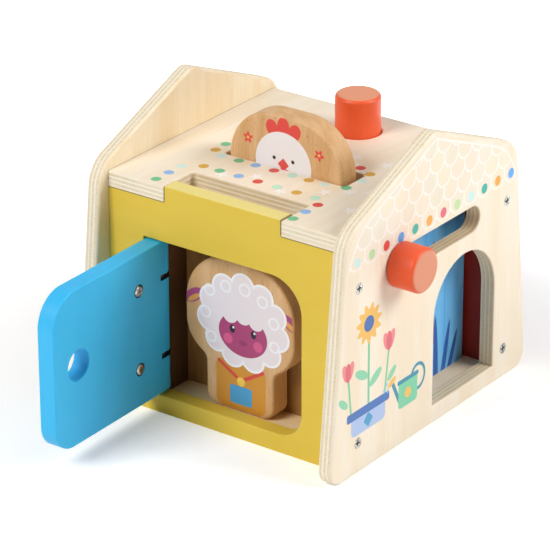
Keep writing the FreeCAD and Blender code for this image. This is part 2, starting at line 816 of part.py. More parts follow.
# Hen: a block with a round top, its keeper bar, and the two guides that it slides in
hen_block = new_body("hen_block", (0, hen_thickness - hen_front, 0), upright)
pad(hen_block, rectangle(-hen_half, hen_bottom, hen_half, hen_top), hen_thickness)
round_edges(hen_block, hen_round, corner_at((-hen_half, hen_top), (hen_half, hen_top)))
round_edges(hen_block, edge_round, outline_at(hen_block, 0, hen_thickness))
keeper_top = roof_under - hen_rise - contact_gap
keeper_low = keeper_top - keeper_height
keeper_screw_level = keeper_low + keeper_height / 2
keeper_screw_half = keeper_half / 2
for x in (-keeper_screw_half, keeper_screw_half):
    drill(hen_block, (x, keeper_screw_level, 0), up, screw_hole, hen_thickness / 2)
hen_keeper = new_body("hen_keeper", (0, hen_thickness - hen_front + keeper_thickness, 0), upright)
pad(hen_keeper, rectangle(-keeper_half, keeper_low, keeper_half, keeper_top), keeper_thickness)
for x in (-keeper_screw_half, keeper_screw_half):
    cut(hen_keeper, circle(x, keeper_screw_level, screw_hole / 2))
bevel_edges(hen_keeper, screw_bevel, ring_at(0, screw_hole))


def make_guide(label, side, wall):
    """An upright channel that one edge of the hen slides in."""
    groove = (hen_half + hen_play) * side
    lip = (hen_half - guide_bite) * side
    back = wall * side
    front_face = -hen_front - hen_play
    back_face = -hen_back + hen_play
    body = new_body(label, (0, 0, roof_under - guide_height))
    pad(body, polygon((back, front_face - guide_lip), (lip, front_face - guide_lip), (lip, front_face),
                      (groove, front_face), (groove, back_face), (lip, back_face),
                      (lip, back_face + guide_lip), (back, back_face + guide_lip)), guide_height)
    return body


guide_screw_levels = [roof_under - guide_screw_low, roof_under - guide_screw_high]
left_hen_guide = make_guide("left_hen_guide", -1, partition_face)
right_hen_guide = make_guide("right_hen_guide", 1, blue_left)
for z in guide_screw_levels:
    drill(left_partition, (0, -hen_middle, z - floor_top), rightward, screw_hole, board)
    drill(left_hen_guide, (-partition_face, -hen_middle, z - roof_under + guide_height), rightward,
          screw_hole, guide_screw_depth)
    drill(blue_wall, (0, -hen_middle, z - floor_top), rightward, screw_hole, board)
    drill(right_hen_guide, (blue_left, -hen_middle, z - roof_under + guide_height), leftward,
          screw_hole, guide_screw_depth)

# Button: a round peg with a stem, and the flange that keeps it in the roof
push_button = new_body("push_button", (0, button_place, 0))
button_base = roof_under - contact_gap
button_top = roof_top + button_proud
pad(push_button, circle(0, 0, button_diameter / 2), button_top - button_base, level=button_base)
pad(push_button, circle(0, 0, stem_diameter / 2), button_base - stem_bottom, level=stem_bottom)
round_edges(push_button, button_rim, ring_at(button_top, button_diameter))
round_edges(push_button, button_rim, ring_at(stem_bottom, stem_diameter))
button_flange = new_body("button_flange", (0, button_place, button_base - flange_thickness))
pad(button_flange, circle(0, 0, flange_diameter / 2), flange_thickness)
cut(button_flange, circle(0, 0, stem_diameter / 2 + bore_play))
bevel_edges(button_flange, small_round, ring_at(0, flange_diameter))

# Rocker: pressing the button lifts the hen
rocker_turn = FreeCAD.Rotation(rightward, rocker_tilt)
rocker_side = -rocker_width / 2
rocker_lever = new_body("rocker_lever", (rocker_side, pivot_place, pivot_height), rocker_turn * sideways)
pad(rocker_lever, rectangle(-hen_arm, -rocker_bar / 2, button_arm, rocker_bar / 2), rocker_width)
for place, radius in ((-hen_arm, rocker_end), (button_arm, rocker_end), (as_size(0), rocker_boss)):
    pad(rocker_lever, circle(place, 0, radius), rocker_width)
cut(rocker_lever, circle(0, 0, pin_diameter / 2 + pin_play))
cheek_top = pivot_height + cheek_over_pin


def make_cheek(label, x):
    body = new_body(label, (x, pivot_place, 0), sideways)
    half = cheek_depth / 2
    pad(body, rectangle(-half, floor_top, half, cheek_top), board)
    round_edges(body, cheek_over_pin, corner_at((-half, cheek_top), (half, cheek_top)))
    cut(body, circle(0, pivot_height, pin_diameter / 2 + bore_play / 2))
    for y in (-cheek_screw_half, cheek_screw_half):
        drill(body, (y, floor_top, board / 2), backward, screw_hole, screw_bite)
    return body


left_cheek = make_cheek("left_cheek", -cheek_inner - board)
right_cheek = make_cheek("right_cheek", cheek_inner)
rocker_pin = doc.addObject("Part::Cylinder", "rocker_pin")
rocker_pin.Label = "rocker_pin"
seat(rocker_pin, (-cheek_inner - board, pivot_place, pivot_height), FreeCAD.Rotation(up, rightward))
bind(rocker_pin, "Radius", pin_diameter / 2)
bind(rocker_pin, "Height", (cheek_inner + board) * 2)
nodes.append(rocker_pin)

# Sliding knob: a peg, a key that runs in the gable's slot, and the animal board behind
slide_knob = new_body("slide_knob", (gable_outer + knob_gap, -knob_place, slot_level), sideways)
pad(slide_knob, circle(0, 0, knob_diameter / 2), knob_length)
round_edges(slide_knob, button_rim, ring_at(knob_length, knob_diameter))
round_edges(slide_knob, small_round, ring_at(0, knob_diameter))
key_span = board + slide_gap + knob_gap
key_radius = slot_height / 2 - key_play
slide_key = new_body("slide_key", (slide_outer, -knob_place, slot_level), sideways)
pad(slide_key, long_hole(key_radius - key_length / 2, key_length / 2 - key_radius, 0, key_radius), key_span)
cut(slide_key, circle(0, 0, screw_hole / 2))
drill(slide_knob, (0, 0, 0), up, screw_hole, slide_screw_grip)
slide_board = new_body("slide_board", (slide_inner, -knob_place, 0), sideways)
slide_half = slide_width / 2
slide_low = floor_top + slide_under
slide_top = slot_level + slide_over
pad(slide_board, rectangle(-slide_half, slide_low, slide_half, slide_top), slide_thickness)
round_edges(slide_board, slide_shoulder, corner_at((-slide_half, slide_top), (slide_half, slide_top)))
round_edges(slide_board, edge_round, outline_at(slide_board, 0, slide_thickness))
cut(slide_board, circle(0, slot_level, screw_hole / 2))
bevel_edges(slide_board, screw_bevel, ring_at(0, screw_hole))

# Sheep: a loose block with a wide head on a narrow body
sheep_block = new_body("sheep_block", (sheep_middle, -sheep_back, floor_top), upright)
head_half = sheep_width / 2
body_half = sheep_body / 2
pad(sheep_block, rounded_box(-body_half, as_size(0), body_half, sheep_neck + sheep_foot_round * 2,
                             sheep_foot_round, sheep_foot_round), sheep_thickness)
pad(sheep_block, rounded_box(-head_half, sheep_neck, head_half, sheep_height,
                             sheep_cheek_round, sheep_top_round), sheep_thickness)


def waist_edges(edge):
    box = edge.BoundBox
    through = box.XLength < tolerance and box.YLength < tolerance
    between = sheep_neck.number - tolerance < box.YMin < (sheep_neck + sheep_foot_round).number
    return through and between and near(abs(box.XMin), body_half.number)


round_edges(sheep_block, sheep_waist_round, waist_edges)
round_edges(sheep_block, edge_round, outline_at(sheep_block, 0, sheep_thickness))

# Screws and dowels: one of each is made, and copies of it stand in their holes


def cross_cut(solid, top):
    """Sink a cross into the head of a screw."""
    half = FreeCAD.Vector(cross_length.number / 2, cross_width.number / 2, cross_depth.number)
    low = top - cross_depth.number
    for long_side, short_side in ((half.x, half.y), (half.y, half.x)):
        corner = FreeCAD.Vector(-long_side, -short_side, low)
        solid = solid.cut(Part.makeBox(long_side * 2, short_side * 2, half.z * 2, corner))
    return solid


def flat_screw(length):
    """A countersunk screw whose flat head lies at zero, pointing down."""
    wire = screw_wire.number / 2
    head = screw_head.number / 2
    depth = head - wire
    cone = Part.makeCone(wire, head, depth, FreeCAD.Vector(0, 0, -depth))
    shank = Part.makeCylinder(wire, length - depth - wire, FreeCAD.Vector(0, 0, wire - length))
    point = Part.makeCone(screw_tip.number, wire, wire, FreeCAD.Vector(0, 0, -length))
    return cross_cut(cone.fuse([shank, point]).removeSplitter(), 0)


def pan_screw(length):
    """A round headed screw that sits on zero, pointing down."""
    head = door_screw_head.number / 2
    rise = door_screw_rise.number
    dome = Part.makeCylinder(head, rise)
    rim = [edge for edge in dome.Edges if near(edge.BoundBox.ZMin, rise)]
    dome = dome.makeFillet(door_screw_dome.number, rim)
    shank = Part.makeCylinder(door_screw_wire.number / 2, length, FreeCAD.Vector(0, 0, -length))
    return cross_cut(dome.fuse(shank).removeSplitter(), rise)


def make_set(label, solid, places):
    """One node that holds copies of a solid at several places."""
    copies = []
    for at, direction in places:
        copy = solid.copy()
        copy.Placement = FreeCAD.Placement(vector(at), FreeCAD.Rotation(up, direction))
        copies.append(copy)
    group = doc.addObject("Part::Feature", label)
    group.Label = label
    group.Shape = Part.makeCompound(copies)
    nodes.append(group)
    return group


gable_screw = flat_screw(screw_length.number)
make_set("left_gable_screws", gable_screw, [((-gable_outer, y, z), leftward) for y, z in screw_spots])
make_set("right_gable_screws", gable_screw, [((gable_outer, y, z), rightward) for y, z in screw_spots])
make_set("cheek_screws", gable_screw, [((x, y, 0), down) for x, y in cheek_screw_spots])
inner_door = FreeCAD.Vector(door_face_x.number, door_face_y.number, 0)
screw_seat = door_screw_sink - door_half
door_screw_length = door_screw_bore - door_screw_sink - end_gap
make_set("door_screws", pan_screw(door_screw_length.number), [
    (on_door(door_screw_reach, height, screw_seat), inner_door) for height in (hinge_low, hinge_high)])
keeper_screw_length = keeper_thickness + hen_thickness / 2 - end_gap
keeper_screw = flat_screw(keeper_screw_length.number)
keeper_back = -hen_back + keeper_thickness
make_set("keeper_screws", keeper_screw, [
    ((x, keeper_back, keeper_screw_level), backward) for x in (-keeper_screw_half, keeper_screw_half)])
slide_screw_length = slide_thickness + key_span + slide_screw_grip - end_gap
make_set("slide_screw", flat_screw(slide_screw_length.number), [
    ((slide_inner, -knob_place, slot_level), leftward)])
guide_pin = Part.makeCylinder(screw_wire.number / 2, (board + guide_screw_depth - end_gap).number)
make_set("guide_screws", guide_pin, [
    ((-partition_face - board, -hen_middle, z), rightward) for z in guide_screw_levels] + [
    ((blue_face, -hen_middle, z), leftward) for z in guide_screw_levels])
dowel_length = dowel_in_board + dowel_in_edge - end_gap * 2
dowel = Part.makeCylinder(dowel_diameter.number / 2, dowel_length.number)
dowel_tip = gable_inner + dowel_in_board - end_gap


def side_dowels(label, z):
    spots = []
    for y in (-dowel_reach, dowel_reach):
        spots.append(((-dowel_tip, y, z), rightward))
        spots.append(((dowel_tip, y, z), leftward))
    make_set(label, dowel, spots)


side_dowels("floor_dowels", board / 2)
side_dowels("roof_dowels", roof_top - board / 2)
make_set("wall_dowels", dowel, [
    ((x, y, floor_top - dowel_in_board + end_gap), up) for x, y in wall_dowel_spots])

# Check every object, then write each node
doc.recompute()
for thing in doc.Objects:
    if "Invalid" in thing.State or "Error" in thing.State:
        raise RuntimeError(f"{thing.Label} failed: {thing.State}")
os.makedirs("parts", exist_ok=True)
for node in nodes:
    shape = node.Shape
    if shape.isNull() or not shape.isValid():
        raise RuntimeError(f"{node.Label} has no valid shape")
for node in nodes:
    node.Shape.exportStep(f"parts/{node.Label}.step")
    box = node.Shape.BoundBox
    print(f"{node.Label:24s} solids {len(node.Shape.Solids)} volume {node.Shape.Volume:9.1f} "
          f"x {box.XMin:7.2f} {box.XMax:7.2f} "
          f"y {box.YMin:7.2f} {box.YMax:7.2f} "
          f"z {box.ZMin:7.2f} {box.ZMax:7.2f}")
print("hen_rise", hen_rise.number, "rocker_tilt", rocker_tilt, "slide_travel", slide_travel.number)
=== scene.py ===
import bpy
import json
import math
from mathutils import Matrix, Vector


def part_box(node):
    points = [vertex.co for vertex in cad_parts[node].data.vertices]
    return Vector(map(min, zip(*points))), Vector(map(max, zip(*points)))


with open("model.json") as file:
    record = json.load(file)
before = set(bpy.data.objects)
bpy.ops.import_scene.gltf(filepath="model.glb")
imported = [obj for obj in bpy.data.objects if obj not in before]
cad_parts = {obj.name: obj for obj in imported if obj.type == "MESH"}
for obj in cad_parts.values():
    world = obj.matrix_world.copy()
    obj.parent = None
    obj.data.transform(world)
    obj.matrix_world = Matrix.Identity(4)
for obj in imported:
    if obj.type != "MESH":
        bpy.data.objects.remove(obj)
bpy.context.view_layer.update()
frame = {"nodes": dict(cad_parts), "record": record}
print("frame loaded:", len(frame["nodes"]), "nodes")


# Camera: a long lens from the front right, at the photograph's angle
cameraView = {"azimuth": 36.277, "elevation": 24.595, "roll": -0.16,
              "place": (0.9795, -1.3627, 0.8362), "lens": 215.2, "sensor": 36, "near": 0.05, "far": 50}


def makeCamera():
    view = cameraView
    azimuth, elevation, roll = (math.radians(view[key]) for key in ("azimuth", "elevation", "roll"))
    back = Vector((math.sin(azimuth) * math.cos(elevation),
                   -math.cos(azimuth) * math.cos(elevation), math.sin(elevation)))
    right = Vector((math.cos(azimuth), math.sin(azimuth), 0))
    up = back.cross(right)
    turnedRight = right * math.cos(roll) + up * math.sin(roll)
    turnedUp = up * math.cos(roll) - right * math.sin(roll)
    turn = Matrix((turnedRight, turnedUp, back)).transposed()
    bpy.ops.object.camera_add(location=view["place"], rotation=turn.to_euler())
    camera = bpy.context.object
    camera.name = "photoCamera"
    camera.data.sensor_width = view["sensor"]
    camera.data.lens = view["lens"]
    camera.data.clip_start, camera.data.clip_end = view["near"], view["far"]
    bpy.context.scene.camera = camera


makeCamera()
bpy.context.scene.view_settings.view_transform = "Standard"


# Shader arithmetic: sizes are in millimetres, colours as they look on screen
def tone(code):                                   # "#RRGGBB" to linear light, by the sRGB curve
    channels = [int(code[at:at + 2], 16) / 255 for at in (1, 3, 5)]
    linear = [c / 12.92 if c <= 0.04045 else ((c + 0.055) / 1.055) ** 2.4 for c in channels]
    return (*linear, 1.0)


class Wire:                                       # one socket of a node tree, open to arithmetic
    def __init__(self, nodes, socket):
        self.nodes, self.socket = nodes, socket

    def math(self, operation, *others):
        return self.nodes.add("ShaderNodeMath", {"operation": operation}, [self, *others])

    def __add__(self, other):
        return self.math("ADD", other)

    def __sub__(self, other):
        return self.math("SUBTRACT", other)

    def __rsub__(self, other):
        return self.math("MULTIPLY_ADD", -1.0, other)

    def __mul__(self, other):
        return self.math("MULTIPLY", other)

    def __truediv__(self, other):
        return self.math("DIVIDE", other)

    def __mod__(self, other):
        return self.math("FLOORED_MODULO", other)

    def __gt__(self, other):
        return self.math("GREATER_THAN", other)

    def __lt__(self, other):
        return self.math("LESS_THAN", other)

    def __abs__(self):
        return self.math("ABSOLUTE")

    __radd__ = __add__

    def floor(self):
        return self.math("FLOOR")

    def least(self, other):
        return self.math("MINIMUM", other)

    def most(self, other):
        return self.math("MAXIMUM", other)

    def clamped(self):
        return self.nodes.add("ShaderNodeClamp", {}, [self, 0.0, 1.0])


class Nodes:                                      # a node tree, built node by node
    def __init__(self, tree):
        self.tree = tree

    def add(self, kind, settings, inputs, output=0):
        node = self.tree.nodes.new(kind)
        for name, value in settings.items():
            if name == "stops":
                for index, (at, colour) in enumerate(value):
                    stops = node.color_ramp.elements
                    stop = stops[index] if index < 2 else stops.new(at)
                    stop.position, stop.color = at, colour
            elif name == "spread":
                node.color_ramp.interpolation = value
            else:
                setattr(node, name, value)
        items = inputs.items() if isinstance(inputs, dict) else enumerate(inputs)
        for name, value in items:
            if isinstance(value, Wire):
                self.tree.links.new(value.socket, node.inputs[name])
            else:
                node.inputs[name].default_value = value
        return Wire(self, node.outputs[output]) if node.outputs else None

    def point(self, x, y, z=0.0):
        return self.add("ShaderNodeCombineXYZ", {}, [x, y, z])

    def length(self, across, upward):
        where = self.point(across, upward)
        return self.add("ShaderNodeVectorMath", {"operation": "LENGTH"}, [where], "Value")

    def noise(self, where, scale, detail=2.0, roughness=0.5):
        return self.add("ShaderNodeTexNoise", {}, {"Vector": where, "Scale": scale, "Detail": detail,
                                                   "Roughness": roughness})

    def mix(self, factor, low, high, blend="MIX"):
        return self.add("ShaderNodeMix", {"data_type": "RGBA", "blend_type": blend},
                        {0: factor, 6: low, 7: high}, 2)

    def ramp(self, value, low, high, start=0.0, end=1.0):
        return self.add("ShaderNodeMapRange", {"interpolation_type": "SMOOTHSTEP"},
                        {"Value": value, "From Min": low, "From Max": high, "To Min": start, "To Max": end})

    def bands(self, value, codes):                # one flat colour after another, as value goes from 0 to 1
        stops = [(index / len(codes), tone(code)) for index, code in enumerate(codes)]
        return self.add("ShaderNodeValToRGB", {"spread": "CONSTANT", "stops": stops}, [value])

    def seenDirectly(self):                       # 1 for what the camera and glossy reflections show
        camera, glossy = (self.add("ShaderNodeLightPath", {}, [], kind)
                          for kind in ("Is Camera Ray", "Is Glossy Ray"))
        return camera.most(glossy)


class Paint(Nodes):                               # one material around a Principled shader
    def __init__(self, name):
        self.material = bpy.data.materials.new(name)
        self.material.use_nodes = True
        super().__init__(self.material.node_tree)
        self.shader = next(node for node in self.tree.nodes if node.type == "BSDF_PRINCIPLED")
        place = self.add("ShaderNodeTexCoord", {}, [], "Object")
        scaled = self.add("ShaderNodeVectorMath", {"operation": "SCALE"}, {"Vector": place, "Scale": 1000.0})
        self.place = [self.add("ShaderNodeSeparateXYZ", {}, [scaled], axis) for axis in "XYZ"]
        self.x, self.y, self.z = self.place

    def grain(self, axis, size, detail=2.0, roughness=0.5):    # noise of a size across and along an axis
        side, other, along = *(self.place[i] for i in range(3) if i != axis), self.place[axis]
        where = self.point(side / size[0], other / size[0], along / size[1])
        return self.noise(where, 1.0, detail, roughness)

    def finish(self, colour, roughness, height=None, depth=0.03, **uniform):
        links = {"Base Color": colour, "Roughness": roughness}
        if height is not None:
            links["Normal"] = self.add("ShaderNodeBump", {}, {"Strength": 1.0, "Distance": depth / 1000,
                                                              "Height": height})
        for name, value in {**links, **uniform}.items():
            if isinstance(value, Wire):
                self.tree.links.new(value.socket, self.shader.inputs[name])
            else:
                self.shader.inputs[name].default_value = value
        return self.material


def join(first, *others):                         # one outline round several
    for other in others:
        first = first.least(other)
    return first


class Stencil:                                    # flat shapes printed on a face, as signed distances
    def __init__(self, paint, across, upward, face):
        self.paint, self.u, self.v, self.face = paint, across, upward, face

    def moved(self, u, v, turn=0.0):
        across, upward = self.u - u, self.v - v
        if not turn:
            return across, upward
        c, s = math.cos(math.radians(turn)), math.sin(math.radians(turn))
        return across * c + upward * s, upward * c - across * s

    def disc(self, u, v, radius):
        return self.paint.length(*self.moved(u, v)) - radius

    def oval(self, u, v, wide, high, turn=0.0):
        across, upward = self.moved(u, v, turn)
        return (self.paint.length(across / wide, upward / high) - 1) * min(wide, high)

    def ring(self, u, v, wide, high, half, turn=0.0):          # an oval's line, half its width each side
        return abs(self.oval(u, v, wide, high, turn)) - half

    def slab(self, u, v, wide, high, corner, turn=0.0):        # half sizes, with round corners
        across, upward = self.moved(u, v, turn)
        outX = abs(across) - (wide - corner)
        outY = abs(upward) - (high - corner)
        inner = outX.most(outY).least(0.0)
        return self.paint.length(outX.most(0.0), outY.most(0.0)) + inner - corner

    def stroke(self, u0, v0, u1, v1, width):
        turn = math.degrees(math.atan2(v1 - v0, u1 - u0))
        half = math.hypot(u1 - u0, v1 - v0) / 2
        return self.slab((u0 + u1) / 2, (v0 + v1) / 2, half + width / 2, width / 2, width / 2 - 0.01, turn)

    def petals(self, u, v, radius, depth, count, turn=0.0):    # a round shape with a wavy edge
        across, upward = self.moved(u, v, turn)
        angle = upward.math("ARCTAN2", across)
        wave = (angle * count).math("COSINE") * depth
        return self.paint.length(across, upward) - radius - wave

    def mask(self, distance, soft=0.12):
        edge = (0.5 - distance / (2 * soft)).clamped()
        return edge * self.face

    def lay(self, colour, distance, ink, soft=0.12, strength=1.0):
        return self.paint.mix(self.mask(distance, soft) * strength, colour, ink)

    def draw(self, colour, inks, picture):        # a picture is a list of inks, each with its shapes
        for ink, shapes, *edge in picture:
            outline = join(*(getattr(self, kind)(*sizes) for kind, *sizes in shapes))
            colour = self.lay(colour, outline, tone(inks[ink]), *edge)
        return colour


def dress(material, *names):
    for name in names:
        mesh = frame["nodes"][name].data
        mesh.materials.clear()
        mesh.materials.append(material)


def boxOf(name):                                  # a node's lowest and highest corners, in millimetres
    return [corner * 1000 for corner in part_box(name)]


# Birch plywood: veneers that cross each other, cut through at every edge
# The darkest colour here is painted shade, for the gaps beside the roof board
plyLook = {"layers": 7, "face": "#F8ECD8", "faceWarm": "#F5E4C9", "faceStreak": "#E7CFA8",
           "cross": "#EFE0C4", "crossDark": "#E2CDA6", "long": "#FAF0DC", "longStreak": 0.5,
           "glue": "#C4A97E", "glueWidth": 0.09, "glueStrength": 0.55, "gapShade": "#5A4630", "streak": 0.3,
           "roughness": 0.42, "rawGrain": 0.16, "printedGrain": 0.14, "warmRange": (0.38, 0.66),
           "streakRange": (0.48, 0.72), "crossRange": (0.35, 0.68), "longRange": (0.4, 0.7)}
# Each grain: size across and along, shift from layer to layer, detail, roughness
plyGrain = {"fine": (0.55, 26, 7.3, 3.0, 0.6), "broad": (16, 150, 3.1, 2.0, 0.5),
            "fibre": (0.22, 6, 1.7, 2.0, 0.5), "end": (0.5, 22, 5.9, 3.0, 0.6)}


def plywood(paint, name, grain, look=plyLook):
    low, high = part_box(name)
    spans = [high[i] - low[i] for i in range(3)]
    thin = spans.index(min(spans))                # the veneers are stacked along the thinnest way
    bottom, top = low[thin] * 1000, high[thin] * 1000
    side = next(i for i in range(3) if i not in (thin, grain))
    along, across = paint.place[grain], paint.place[side]
    depth = (paint.place[thin] - bottom) * (look["layers"] / (top - bottom))
    layer = depth.floor()
    within = depth - layer

    def veneer(narrow, long, kind):
        width, length, shift, detail, roughness = plyGrain[kind]
        where = paint.point(narrow / width, long / length, layer * shift)
        return paint.noise(where, 1.0, detail, roughness)

    fine = veneer(across, along, "fine")
    broad = veneer(across, along, "broad")
    fibre = veneer(across, along, "fibre")
    endGrain = veneer(along, across, "end")
    warm = paint.ramp(broad, *look["warmRange"])
    streak = paint.ramp(fine, *look["streakRange"]) * look["streak"]
    face = paint.mix(streak, paint.mix(warm, tone(look["face"]), tone(look["faceWarm"])),
                     tone(look["faceStreak"]))
    dark = paint.ramp(endGrain, *look["crossRange"])
    cross = paint.mix(dark, tone(look["cross"]), tone(look["crossDark"]))
    pale = paint.ramp(fine, *look["longRange"]) * look["longStreak"]
    longer = paint.mix(pale, tone(look["long"]), tone(look["cross"]))
    body = paint.mix(layer % 2, longer, cross)
    glue = (look["glueWidth"] - within.least(1.0 - within)) / look["glueWidth"]
    body = paint.mix(glue.clamped() * look["glueStrength"], body, tone(look["glue"]))
    outer = (depth < 1.0).most(depth > look["layers"] - 1.0)
    return paint.mix(outer, body, face), fibre * 0.5 + fine * 0.5, fine


def dressPly(paint, name, colour, height, fine, grainShare):
    dress(paint.finish(colour, plyLook["roughness"] + fine * grainShare, height), name)


gablePly = {**plyLook, "face": "#F9EACC", "faceWarm": "#F4DEB6", "faceStreak": "#E2C294", "streak": 0.35}
# Darker copies of the plywood are painted shade: the room's back wall, and its left partition deepest in
# shadow
roomShadePly = {**plyLook, "face": "#AC7E42", "faceWarm": "#9A6C36", "faceStreak": "#775024", "streak": 0.5}
deepShadePly = {**plyLook, "face": "#54361A", "faceWarm": "#462B13", "faceStreak": "#301D0B", "streak": 0.5}


def plainPly(name, look):
    paint = Paint(name + "Ply")
    dressPly(paint, name, *plywood(paint, name, 2, look), plyLook["rawGrain"])


plainPly("left_gable", gablePly)
plainPly("left_partition", deepShadePly)
plainPly("compartment_back_wall", roomShadePly)


# Floor: painted light makes the bay behind the arch paler, past the blue wall's middle
floorPly = {**plyLook, "face": "#F8DEAE", "faceWarm": "#F1D29A", "faceStreak": "#DAB47C", "streak": 0.4}
floorBayLight = {"pale": "#FFE2BE", "strength": 0.8, "start": 3}


def floorBoard():
    paint = Paint("floorBoardPly")
    colour, height, fine = plywood(paint, "floor_board", 0, floorPly)
    litBay = paint.x > boxOf("blue_wall")[0].x + floorBayLight["start"]
    colour = paint.mix(litBay * floorBayLight["strength"], colour, tone(floorBayLight["pale"]))
    dressPly(paint, "floor_board", colour, height, fine, plyLook["rawGrain"])


floorBoard()
print("plain plywood done")


# Right gable: fish scale shingles under the roof line, and a garden below
shingles = {"pitch": 13.6, "row": 10.0, "tip": 121.0, "first": -73.6, "line": 1.15, "lineStrength": 0.8,
            "inset": 4.2, "corner": 17.0, "eavesY": 83.0, "eavesZ": 142.0, "baseY": 97.5, "apexZ": 175.8,
            "white": "#FFF8F2", "tints": ["#F1E4CE", "#EEE2D0", "#E8E3D2", "#F4E6C8"], "tintStrength": 0.4,
            "dotRadius": 2.95, "dotRise": 4.6,
            "dots": ["#CFEBE4", "#BFDDA8", "#E04F4B", "#5FA2E6", "#3DB39E", "#EFA83C",
                     "#E2657C", "#C2DFA5", "#CDEDEA", "#2FAE9C", "#F0A83F", "#5AA7EE"]}
garden = {"inks": {"pot": "#AFC4E8", "potRim": "#4A74B8", "potMark": "#4C9FCC", "stem": "#7CC79A",
                   "leaf": "#8FD2AB", "sun": "#F2BE5E", "heart": "#3F6AAE", "tulip": "#EE8B8B",
                   "tulipDeep": "#E06A78", "can": "#7FCFA6", "canDark": "#3C8FA8", "rose": "#F2BE5E",
                   "drop": "#9FC6EC"},
          "picture": [
              ("stem", [("stroke", -62, 36, -62, 80, 1.9), ("stroke", -78, 36, -81, 60, 1.6),
                        ("stroke", -47, 36, -43, 64, 1.6)]),
              ("leaf", [("oval", -68.5, 58, 6.6, 2.7, -28), ("oval", -55.5, 52, 6.6, 2.7, 32),
                        ("oval", -85.5, 47, 5.2, 2.2, -40), ("oval", -40, 48, 5.2, 2.2, 40)]),
              ("sun", [("petals", -62, 86, 10.2, 1.7, 11, 8)]),
              ("heart", [("disc", -62, 86, 4.6)]),
              ("tulip", [("oval", -83.6, 64.5, 2.6, 5.4, 18), ("oval", -78.6, 64.5, 2.6, 5.4, -18),
                         ("oval", -45.4, 69, 2.6, 5.6, 18), ("oval", -40.2, 69, 2.6, 5.6, -18)]),
              ("tulipDeep", [("oval", -81.1, 64, 2.6, 5.6), ("oval", -42.8, 68.5, 2.6, 5.8)]),
              ("pot", [("slab", -62, 30, 16, 6.6, 3.5)]),
              ("potRim", [("slab", -62, 36, 20, 2.6, 1.4)]),
              ("potMark", [("slab", -62, 29, 3.2, 3.2, 1.0, 45)]),
              ("canDark", [("ring", -14.5, 36, 6.6, 7.4, 0.9), ("stroke", -32, 27, -39, 41, 2.6)]),
              ("can", [("slab", -24, 31, 9.2, 8.6, 2.6)]),
              ("canDark", [("slab", -24, 38.6, 10.2, 1.3, 0.9)]),
              ("rose", [("oval", -39.6, 42.2, 4.2, 1.8, 28)]),
              ("rose", [("disc", -24, 30, 3.1)]),
              ("drop", [("oval", -44.5, 42.6, 0.8, 1.4), ("oval", -43.6, 38.6, 0.8, 1.4),
                        ("oval", -47.2, 39.6, 0.8, 1.4)])]}
cutOuts = {"middleY": 34, "middleZ": 62, "halfY": 38, "halfZ": 62, "corner": 6, "warmLight": "#FFF5E6"}
printLayer = 0.35                                 # how far under a board's face its print reaches


def gableOutline(paint, inset):                   # signed distance to the gable's outline, moved inwards
    s = shingles
    rise, lean = s["apexZ"] - s["eavesZ"], s["baseY"] - s["eavesY"]
    slope = math.hypot(s["eavesY"], rise)
    side = math.hypot(lean, s["eavesZ"])
    reach = abs(paint.y)
    top = (reach - s["eavesY"]) * (rise / slope) + (paint.z - s["eavesZ"]) * (s["eavesY"] / slope)
    flank = (reach - s["baseY"]) * (s["eavesZ"] / side) + paint.z * (lean / side)
    top, flank = top + (inset + s["corner"]), flank + (inset + s["corner"])
    return paint.length(top.most(0.0), flank.most(0.0)) + top.most(flank).least(0.0) - s["corner"]


def printShingles(paint, stencil, colour):
    s = shingles
    half = s["pitch"] / 2
    start = s["first"] - half
    rise = (paint.z - s["tip"]) / s["row"]
    row = rise.floor()
    climb = (rise - row) * s["row"]
    aside = (paint.y - start + (row % 2) * half) % s["pitch"] - half
    arch = paint.length(aside, (half - climb).most(0.0)) - half
    outline = gableOutline(paint, s["inset"])
    roofed = (row > -0.5) * (outline < 0.0)       # from the first row up, inside the border
    under = (arch > 0.0) * (climb < half)         # between two tips the scale of the row below shows
    owner = row - under
    column = ((paint.y - start + (owner % 2) * half) / s["pitch"]).floor()
    pick = paint.add("ShaderNodeTexWhiteNoise", {"noise_dimensions": "2D"},
                     [paint.point(owner, column)], "Value")
    inside = roofed * (1.0 - (row < 0.5) * under) * stencil.face
    colour = paint.mix(inside * s["tintStrength"], colour, paint.bands(pick, s["tints"]))
    lines = stencil.mask(abs(arch) - s["line"] / 2) * roofed
    border = stencil.mask(abs(outline) - s["line"] / 2) * (paint.z > s["tip"] + 1)
    return paint.mix(lines.most(border) * s["lineStrength"], colour, tone(s["white"]))


def printDots(paint, stencil, colour):            # one dot at each tip of the lowest row
    s = shingles
    start = s["first"] - s["pitch"] / 2
    at = ((paint.y - start) / s["pitch"]).floor()
    inks = paint.bands((at + 0.5) / len(s["dots"]), s["dots"])
    aside = (paint.y - start) % s["pitch"] - s["pitch"] / 2
    dot = paint.length(aside, paint.z - (s["tip"] + s["dotRise"])) - s["dotRadius"]
    inRange = (at > -0.5) * (at < len(s["dots"]) - 0.5)
    return paint.mix(stencil.mask(dot) * inRange, colour, inks)


def rightGable():
    paint = Paint("rightGablePly")
    colour, height, fine = plywood(paint, "right_gable", 2)
    outer = boxOf("right_gable")[1].x
    stencil = Stencil(paint, paint.y, paint.z, paint.x > outer - printLayer)
    c = cutOuts                                   # painted light: the routed edges of the arch and the slot are tinted warmer
    warmLitEdges = stencil.slab(c["middleY"], c["middleZ"], c["halfY"], c["halfZ"], c["corner"]) < 0.0
    colour = paint.mix(warmLitEdges * (1.0 - stencil.face), colour, tone(c["warmLight"]), "MULTIPLY")
    colour = printShingles(paint, stencil, colour)
    colour = printDots(paint, stencil, colour)
    colour = stencil.draw(colour, garden["inks"], garden["picture"])
    dressPly(paint, "right_gable", colour, height, fine, plyLook["printedGrain"])


rightGable()
print("right gable printed")


